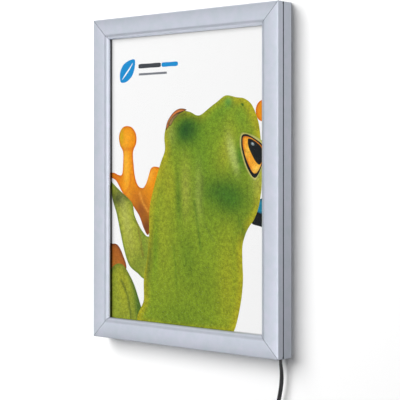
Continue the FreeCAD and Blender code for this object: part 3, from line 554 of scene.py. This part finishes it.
# Soft tones laid over a region: region, place, spread across and up, turn, tone, strength.
washes = [
    (BODY, 6, 66, 22, 17, 15, ink(62, 116, 22), 0.75),
    (BODY, 6, 67, 15, 12, 15, SKIN_DEEP, 1.0),
    (BODY, 8, 66, 10, 8, 15, ink(10, 66, 22), 0.8),
    (BODY, -26, 66, 6, 14, 10, ink(150, 160, 70), 0.5),
    (BODY, 76, 46, 9, 26, -12, ink(172, 166, 44), 0.5),
    (BODY, 60, 92, 14, 8, 20, ink(96, 140, 34), 0.6),
    (BODY, 100, 84, 12, 10, 0, ink(96, 138, 34), 0.5),
    (BODY, 68, -22, 30, 22, 0, SKIN_DARK, 0.75),
    (BODY, 84, -34, 16, 14, 0, SKIN_DARK, 0.5),
    (BODY, 84, 38, 4.5, 15, 16, SKIN_LIGHT, 0.85),
    (BODY, 91, 22, 3.5, 9, 10, SKIN_LIGHT, 0.6),
    (BODY, 99, 30, 6, 13, 10, ink(56, 114, 24), 0.8),
    (BODY, 78, 104, 5, 5, 0, ink(62, 146, 66), 0.7),
    (BODY, 50, 70, 26, 20, 30, ink(104, 140, 26), 0.5),
    (BODY, 118, 92, 8, 14, 20, SKIN_EDGE, 0.6),
    (BODY, 128, 0, 8, 16, 0, ink(160, 164, 66), 0.7),
    (BODY, 30, 28, 14, 24, 10, ink(84, 130, 24), 0.55),
    (BODY, 2, -14, 7, 26, 0, ink(160, 164, 64), 0.6),
    (BODY, 26, -20, 5, 26, 0, ink(158, 172, 76), 0.6),
    (BODY, -12, -20, 4.5, 26, 4, ink(50, 108, 20), 0.85),
    (BODY, 6, -108, 12, 24, 8, SKIN_DARK, 0.45),
    (BODY, 46, -46, 12, 30, -10, ink(112, 142, 28), 0.5),
    (BODY, 104, -70, 8, 10, 0, SKIN_DARK, 0.5),
    (BODY, 36, -150, 30, 30, 0, ink(108, 132, 24), 0.55),
    (BODY, 78, -140, 14, 50, 0, SKIN_EDGE, 0.45),
    (BODY, -40, -60, 14, 50, 0, ink(148, 154, 34), 0.5),
    (BODY, -30, 0, 12, 26, 15, ink(160, 158, 32), 0.5),
    (BODY, -66, -118, 4, 26, -6, ink(70, 96, 30), 0.7),
    (BODY, -10, -190, 30, 16, 0, SKIN_DARK, 0.3),
    (BODY, 62, -16, 24, 13, 0, ink(40, 92, 22), 0.6),
    (BODY, 84, -26, 14, 12, 0, ink(52, 104, 24), 0.5),
    (BODY, -54, -96, 4, 26, 0, ink(90, 130, 24), 0.6),
    (ARM, -124, -28, 12, 9, 20, ink(44, 58, 20), 1.0),
    (ARM, -74, -96, 6, 22, 20, ink(96, 134, 36), 0.6),
    (ARM, -86, -120, 12, 14, 30, SKIN_DARK, 0.5),
    (ARM, -112, -56, 6, 26, 15, ink(182, 186, 96), 0.5),
    (THIGH, -118, -150, 10, 26, 10, SKIN_EDGE, 0.45),
    (THIGH, -86, -188, 5, 24, 12, ink(40, 88, 26), 0.8),
    (HAND, -82, -42, 12, 14, 0, RUST, 0.9),
    (HAND, -70, -68, 10, 14, 0, ink(92, 44, 22), 0.9),
    (HAND, -90, -24, 12, 9, 0, ink(190, 108, 20), 0.7),
    (HAND, -108, 10, 4, 24, 0, ink(250, 178, 44), 0.7),
    (HAND, -108, 60, 6, 7, 0, ink(246, 170, 36), 0.6),
    (HAND, -66, 2, 4, 10, -35, ink(250, 184, 60), 0.6),
    (HAND, -132, 0, 8, 5, 0, ORANGE_DEEP, 0.7),
    (HAND, -120, 60, 3, 11, 0, ink(196, 176, 20), 0.7),
    (HAND, -112, 24, 3, 20, 0, ink(252, 196, 60), 0.55),
    (HAND, -106, 42, 12, 2, 0, ORANGE_DEEP, 0.6),
    (FLANK, -134, -126, 10, 10, 0, ink(190, 118, 40), 0.5),
    (IRIS, 112, 40, 3, 10, -25, ink(250, 200, 70), 0.7),
    (IRIS, 126, 14, 6, 4, 40, ink(252, 206, 84), 0.8),
]
# Folds: region, line, width, tone, strength.
folds = [
    (BODY, [(18, -30), (26, -70), (30, -96)], 1.4, SKIN_DARK, 0.6),
    (BODY, [(-20, -92), (-16, -120), (-14, -150)], 1.2, SKIN_DARK, 0.45),
    (BODY, [(34, 4), (30, -30), (38, -62), (52, -82)], 1.4, ink(96, 116, 36), 0.5),
    (BODY, [(96, -52), (102, -66), (108, -74)], 1.6, SKIN_DARK, 0.5),
    (BODY, [(-28, 76), (-14, 86), (2, 90)], 1.5, ink(70, 90, 30), 0.6),
    (THIGH, [(-120, -146), (-108, -166), (-102, -190), (-100, -206)], 1.2, ink(60, 80, 30), 0.8),
    (HAND, [(-84, -20), (-78, -34), (-68, -46)], 1.1, ink(250, 170, 60), 0.6),
    (HAND, [(-101, 6), (-104, -12), (-112, -22)], 1.3, ORANGE_DEEP, 0.6),
    (ARM, [(-92, -48), (-84, -80), (-78, -108)], 1.3, ink(120, 96, 36), 0.6),
]
sheet_low, sheet_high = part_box("poster")
half_x, half_z = sheet_high.x * 1000, sheet_high.z * 1000
outlines = [closed_curve(points, 7) for points, _, _, _, _ in regions]
flat = [Vector(p) for p in ((-half_x, -half_z), (half_x, -half_z), (half_x, half_z),
                            (-half_x, half_z))]
loops = [[0, 1, 2, 3]]
for outline in outlines:
    loops.append(list(range(len(flat), len(flat) + len(outline))))
    flat += [Vector(p) for p in outline]
PITCH = 2.6                     # mm between the print's inner points
for i, x in enumerate(np.arange(-146, 146, PITCH)):
    for z in np.arange(-207, 114, PITCH):
        flat.append(Vector((x, z + (i % 2) * PITCH / 2)))
made = geometry.delaunay_2d_cdt(flat, [], loops, 1, 1e-4, True)
front, triangles, owners = made[0], made[2], made[5]
spots = np.array([tuple(p) for p in front])


def line_distance(points, line, closed):
    """How far points are from a line of points."""
    ends = np.roll(line, -1, axis=0) if closed else line[1:]
    starts = line if closed else line[:-1]
    best = np.full(len(points), 1e9)
    for a, b in zip(starts, ends):
        t = np.clip(((points - a) @ (b - a)) / max((b - a) @ (b - a), 1e-9), 0, 1)
        best = np.minimum(best, np.linalg.norm(points - a - t[:, None] * (b - a), axis=1))
    return best


def region_tones(k, points):
    """The print's colour in a region, at points in it."""
    inside, edge, reach = (np.array(regions[k][1]), np.array(regions[k][2]), regions[k][3])
    t = np.clip(line_distance(points, outlines[k], True) / reach, 0, 1)
    t = (t * t * (3 - 2 * t))[:, None]
    tone = edge * (1 - t) + inside * t
    for of, x, z, across, up, turn, colour, strength in washes:
        if of == k:
            c, s = math.cos(math.radians(turn)), math.sin(math.radians(turn))
            dx, dz = points[:, 0] - x, points[:, 1] - z
            far = ((dx * c + dz * s) / across) ** 2 + ((dz * c - dx * s) / up) ** 2
            w = (strength * np.exp(-0.5 * far))[:, None]
            tone = tone * (1 - w) + np.array(colour) * w
    for of, path, width, colour, strength in folds:
        if of == k:
            near = line_distance(points, np.array(path, float), False)
            w = (strength * np.exp(-0.5 * (near / width) ** 2))[:, None]
            tone = tone * (1 - w) + np.array(colour) * w
    return tone


top = [max(owner) - 1 if owner else -1 for owner in owners]
tones = {}
for k in range(len(regions)):
    tones[k] = region_tones(k, spots) if k in top else None
front_y, back_y = sheet_low.y, sheet_high.y
points = [(p[0] / 1000, front_y, p[1] / 1000) for p in spots]
corners = [min(range(len(spots)), key=lambda i: abs(spots[i][0] - p.x) + abs(spots[i][1] - p.y))
           for p in flat[:4]]
backs = []
for corner in corners:
    backs.append(len(points))
    points.append((points[corner][0], back_y, points[corner][2]))
faces = [tuple(t) for t in triangles] + [tuple(reversed(backs))]
for i in range(4):
    j = (i + 1) % 4
    faces.append((corners[j], corners[i], backs[i], backs[j]))
poster_mesh = bpy.data.meshes.new("poster_print")
poster_mesh.from_pydata(points, [], faces)
white = (0.93, 0.93, 0.93)
inks, grains = [], []
for face, k in zip(faces, top + [-1] * 5):
    for vertex in face:
        inks += [*(white if k < 0 else tones[k][vertex]), 1.0]
        grains.append(0.0 if k < 0 else regions[k][4])
poster_mesh.color_attributes.new("ink", "FLOAT_COLOR", "CORNER").data.foreach_set("color", inks)
poster_mesh.attributes.new("grain", "FLOAT", "CORNER").data.foreach_set("value", grains)
poster = bpy.data.objects.new("poster_print", poster_mesh)
bpy.context.scene.collection.objects.link(poster)
print_ink = bpy.data.materials.new("print_ink")
print_ink.use_nodes = True
new = print_ink.node_tree.nodes.new
link = print_ink.node_tree.links.new
shader = print_ink.node_tree.nodes["Principled BSDF"]
shader.inputs["Roughness"].default_value = 0.45
shader.inputs["Emission Strength"].default_value = 0.55
shader.inputs["Specular IOR Level"].default_value = 0.02
colours = new("ShaderNodeVertexColor")
colours.layer_name = "ink"
amount = new("ShaderNodeAttribute")
amount.attribute_name = "grain"
place = new("ShaderNodeTexCoord")
pores = new("ShaderNodeTexVoronoi")
pores.inputs["Scale"].default_value = 620
link(place.outputs["Object"], pores.inputs["Vector"])
patches = new("ShaderNodeTexNoise")
patches.inputs["Scale"].default_value = 230
patches.inputs["Detail"].default_value = 5
link(place.outputs["Object"], patches.inputs["Vector"])
both = new("ShaderNodeMath")
both.operation = "MULTIPLY_ADD"
link(pores.outputs["Distance"], both.inputs[0])
both.inputs[1].default_value = 0.55
link(patches.outputs["Fac"], both.inputs[2])
speckle = new("ShaderNodeMapRange")
speckle.inputs["From Min"].default_value = 0.45
speckle.inputs["From Max"].default_value = 1.05
speckle.inputs["To Min"].default_value = 0.62
speckle.inputs["To Max"].default_value = 1.40
link(both.outputs[0], speckle.inputs["Value"])
grey = new("ShaderNodeCombineColor")
for channel in ("Red", "Green", "Blue"):
    link(speckle.outputs["Result"], grey.inputs[channel])
inked = new("ShaderNodeMix")
inked.data_type = "RGBA"
inked.blend_type = "MULTIPLY"
link(amount.outputs["Fac"], inked.inputs["Factor"])
link(colours.outputs["Color"], inked.inputs["A"])
link(grey.outputs["Color"], inked.inputs["B"])
film = new("ShaderNodeMix")
film.data_type = "RGBA"
film.blend_type = "MULTIPLY"
film.inputs["Factor"].default_value = 1
film.inputs["B"].default_value = (0.37, 0.37, 0.37, 1)
link(inked.outputs["Result"], film.inputs["A"])
link(film.outputs["Result"], shader.inputs["Base Color"])
# The glow ends at the covers' opening, where their lips cover the print.
GLOW_IN = 0.0005
GLOW_OUT = 0.0010
apart = new("ShaderNodeSeparateXYZ")
link(place.outputs["Object"], apart.inputs["Vector"])
lit = inked.outputs["Result"]
for axis, opening in (("X", outer_x - COVER_BORDER), ("Z", outer_z - COVER_BORDER)):
    outwards = new("ShaderNodeMath")
    outwards.operation = "ABSOLUTE"
    link(apart.outputs[axis], outwards.inputs[0])
    fade = new("ShaderNodeMapRange")
    fade.inputs["From Min"].default_value = opening - GLOW_IN
    fade.inputs["From Max"].default_value = opening + GLOW_OUT
    link(outwards.outputs[0], fade.inputs["Value"])
    shaded = new("ShaderNodeMix")
    shaded.data_type = "RGBA"
    shaded.inputs["B"].default_value = (0, 0, 0, 1)
    link(fade.outputs["Result"], shaded.inputs["Factor"])
    link(lit, shaded.inputs["A"])
    lit = shaded.outputs["Result"]
link(lit, shader.inputs["Emission Color"])
poster.data.materials.append(print_ink)
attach(poster, "casing")
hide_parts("poster")

# Stage: a white wall behind the frame, with an opening that the casing covers, so that the back
# panel is lit too, a pale floor, and soft light from the upper left.
WALL_Y = 0.0004
WALL_OUT = 4.0
WALL_LAP = 0.006                # how far the casing covers the wall round the opening
edges_x, edges_z = (WALL_OUT, outer_x - WALL_LAP), (WALL_OUT, outer_z - WALL_LAP)
ring = [(x * sx, WALL_Y, z * sz) for x, z in zip(edges_x, edges_z)
        for sx, sz in ((-1, -1), (1, -1), (1, 1), (-1, 1))]
wall_mesh = bpy.data.meshes.new("wall")
wall_mesh.from_pydata(ring, [], [(i, (i + 1) % 4, (i + 1) % 4 + 4, i + 4) for i in range(4)])
wall = bpy.data.objects.new("wall", wall_mesh)
bpy.context.scene.collection.objects.link(wall)
bpy.ops.mesh.primitive_plane_add(size=9, location=(0, 0, -0.75))
floor = bpy.context.object
floor.name = "floor"
bpy.ops.object.transform_apply(location=True, rotation=True, scale=True)
paint = bpy.data.materials.new("wall_paint")
paint.use_nodes = True
paint.use_backface_culling = True
paint_nodes = paint.node_tree.nodes
paint_link = paint.node_tree.links.new
paint_shader = paint_nodes["Principled BSDF"]
paint_shader.inputs["Base Color"].default_value = (0.94, 0.94, 0.94, 1)
paint_shader.inputs["Roughness"].default_value = 0.9
paint_shader.inputs["Specular IOR Level"].default_value = 0
facing = paint_nodes.new("ShaderNodeNewGeometry")
behind = paint_nodes.new("ShaderNodeMath")
behind.operation = "SUBTRACT"
behind.inputs[0].default_value = 1
paint_link(facing.outputs["Backfacing"], behind.inputs[1])
paint_link(behind.outputs[0], paint_shader.inputs["Alpha"])
wall.data.materials.append(paint)
wall.visible_glossy = False
floor.visible_diffuse = False
floor.data.materials.append(plastic("floor_pale", (0.74, 0.74, 0.74), 0.7, 60, 0.02, 0.01))

world = bpy.data.worlds.new("studio")
bpy.context.scene.world = world
world.use_nodes = True
sky = world.node_tree.nodes
sky_link = world.node_tree.links.new
direction = sky.new("ShaderNodeTexCoord")
parts = sky.new("ShaderNodeSeparateXYZ")
sky_link(direction.outputs["Generated"], parts.inputs["Vector"])
front_to_back = sky.new("ShaderNodeMapRange")
front_to_back.inputs["From Min"].default_value = -0.8
front_to_back.inputs["From Max"].default_value = 0.8
front_to_back.inputs["To Min"].default_value = 1.18
front_to_back.inputs["To Max"].default_value = 0.80
sky_link(parts.outputs["Y"], front_to_back.inputs["Value"])
ray = sky.new("ShaderNodeLightPath")
dim = sky.new("ShaderNodeMix")
dim.data_type = "FLOAT"
dim.inputs["B"].default_value = 0.18
sky_link(ray.outputs["Diffuse Depth"], dim.inputs["Factor"])
sky_link(front_to_back.outputs["Result"], dim.inputs["A"])
sky_link(dim.outputs["Result"], sky["Background"].inputs["Strength"])
sky["Background"].inputs["Color"].default_value = (1, 1, 1, 1)


def softbox(name, at, to, size, energy):
    """A square area light at one place, turned towards another."""
    lamp = bpy.data.lights.new(name, "AREA")
    lamp.shape = "SQUARE"
    lamp.size = size
    lamp.energy = energy
    holder = bpy.data.objects.new(name, lamp)
    holder.location = at
    holder.rotation_euler = (Vector(to) - Vector(at)).to_track_quat("-Z", "Y").to_euler()
    bpy.context.scene.collection.objects.link(holder)
    return holder


key = softbox("key", (-1.3, -2.5, 1.35), (0, 0, 0), 2.8, 156)
key.visible_glossy = False
card = softbox("right_card", (1.2, -2.4, 0.1), (0, 0, 0), 1.6, 9)
card.visible_diffuse = False
bpy.context.scene.view_settings.view_transform = "Standard"
